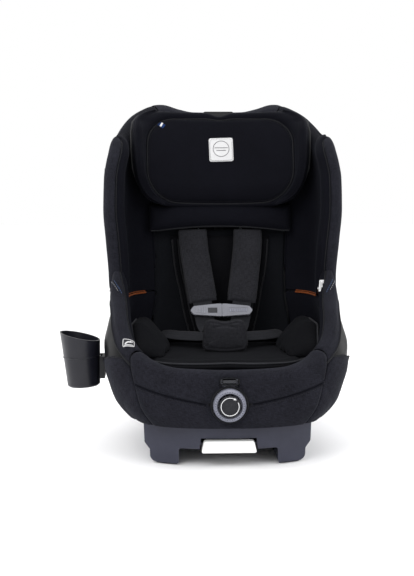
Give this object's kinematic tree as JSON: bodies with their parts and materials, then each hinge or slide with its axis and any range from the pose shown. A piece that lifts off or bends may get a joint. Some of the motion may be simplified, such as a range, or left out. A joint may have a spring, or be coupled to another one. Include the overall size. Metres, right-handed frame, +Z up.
{
  "type": "convertible car seat",
  "caption": "Child car seat with padded side wings, sliding headrest, five-point harness, tension dial, reclining shell on a skid base and a side cup holder.",
  "frame": {"origin": "middle of the footprint on the surface the base stands on, on the seat's symmetry plane", "axes": "+Z up, -Y towards the front of the seat, +X towards the right as seen from the front; the cup holder is on the -X side"},
  "size_m": [0.5568, 0.5093, 0.6758],
  "materials": {
    "base_plastic": "fine moulded texture",
    "rubber": "matt rubber",
    "steel": "zinc plated",
    "handle_plastic": "satin off-white",
    "shell_plastic": "glossy black moulding",
    "inner_plastic": "matt black moulding",
    "foam": "expanded bead foam",
    "woven_fabric": "charcoal melange weave",
    "jersey_fabric": "soft black-navy jersey over foam",
    "insert_fabric": "soft charcoal jersey with piped edge",
    "pad_fabric": "ribbed charcoal knit",
    "webbing": "tight woven webbing",
    "trim_orange": "rust orange binding",
    "label_white": "white woven label",
    "clip_plastic": "mid grey moulding",
    "knob_plastic": "dark grey moulding",
    "button_red": "red press button",
    "cup_plastic": "dark satin moulding"
  },
  "bodies": {
    "base": {"base_shell": "base_plastic", "foot_pads": "rubber", "base_cross_tube": "steel", "base_screws": "steel"},
    "recline_handle": {"recline_handle": "handle_plastic", "latch_bar": "steel", "handle_spring": "steel"},
    "seat": {"seat_shell": "shell_plastic", "seat_deck": "inner_plastic", "glide_pan": "inner_plastic", "recline_rack": "steel", "rear_cover": "inner_plastic", "shell_screws": "steel", "side_foam_left": "foam", "side_foam_right": "foam", "back_foam": "foam", "wing_cover_left": "woven_fabric", "wing_cover_right": "woven_fabric", "hip_cover_left": "woven_fabric", "hip_cover_right": "woven_fabric", "apron_cover": "woven_fabric", "top_cover": "woven_fabric", "seat_cushion": "jersey_fabric", "back_pad": "jersey_fabric", "insert_seat_pad": "insert_fabric", "insert_bolster_left": "insert_fabric", "insert_bolster_right": "insert_fabric", "insert_back_pad": "insert_fabric", "belt_guides": "trim_orange", "side_pods": "shell_plastic", "side_labels": "label_white", "shoulder_straps": "webbing", "lap_straps": "webbing", "rear_webbing": "webbing", "harness_yoke": "steel", "crotch_strap": "webbing", "crotch_pad": "pad_fabric", "buckle_body": "inner_plastic", "buckle_tongues": "steel", "dial_housing": "inner_plastic", "release_pin": "steel", "guide_rods": "steel", "rod_brackets": "steel", "height_rack": "steel", "cup_socket": "inner_plastic"},
    "dial": {"tension_dial": "knob_plastic", "dial_spool": "steel"},
    "release": {"release_lever": "clip_plastic"},
    "headrest": {"headrest_frame": "inner_plastic", "headrest_pad": "jersey_fabric", "headrest_carrier": "inner_plastic", "shoulder_band": "jersey_fabric", "headrest_labels": "label_white", "shoulder_pads": "pad_fabric"},
    "headrest_lever": {"headrest_lever": "inner_plastic"},
    "buckle_button": {"buckle_button": "button_red"},
    "clip_right": {"chest_clip_right": "clip_plastic"},
    "clip_left": {"chest_clip_left": "clip_plastic"},
    "clip_button": {"chest_clip_button": "clip_plastic"},
    "cup": {"cup_holder": "cup_plastic"}
  },
  "joints": [
    {"name": "recline", "type": "hinge", "parent": "base", "child": "seat", "pos_m": [0, 0, 0.48], "axis": [-1, 0, 0], "range_deg": [0, 14]},
    {"name": "recline_pull", "type": "slide", "parent": "base", "child": "recline_handle", "axis": [0, -1, 0], "range_m": [0, 0.012], "stiffness_N_per_m": 900, "deforming": ["handle_spring"]},
    {"name": "headrest_height", "type": "slide", "parent": "seat", "child": "headrest", "axis": [0, 0.2656, 0.9641], "range_m": [0, 0.12]},
    {"name": "headrest_release", "type": "slide", "parent": "headrest", "child": "headrest_lever", "axis": [0, 0.2656, 0.9641], "range_m": [0, 0.006], "stiffness_N_per_m": 700},
    {"name": "tension_dial", "type": "hinge", "parent": "seat", "child": "dial", "pos_m": [0, -0.25, 0.12], "axis": [0, -1, 0], "continuous": true},
    {"name": "harness_release", "type": "hinge", "parent": "seat", "child": "release", "pos_m": [0, -0.224, 0.1625], "axis": [1, 0, 0], "range_deg": [0, 10], "stiffness_Nm_per_rad": 0.3},
    {"name": "buckle_press", "type": "slide", "parent": "seat", "child": "buckle_button", "axis": [0, 0.9781, -0.2079], "range_m": [0, 0.0035], "stiffness_N_per_m": 1500},
    {"name": "chest_clip_height", "type": "slide", "parent": "seat", "child": "clip_right", "axis": [0, 0.4664, 0.8846], "range_m": [-0.006, 0]},
    {"name": "chest_clip_join", "type": "slide", "parent": "clip_right", "child": "clip_left", "axis": [-1, 0, 0], "range_m": [0, 0.03]},
    {"name": "chest_clip_press", "type": "slide", "parent": "clip_left", "child": "clip_button", "axis": [0, 0.8846, -0.4664], "range_m": [0, 0.0015], "stiffness_N_per_m": 600},
    {"name": "cup_holder_lift", "type": "slide", "parent": "seat", "child": "cup", "axis": [0, 0, 1], "range_m": [0, 0.06]}
  ]
}
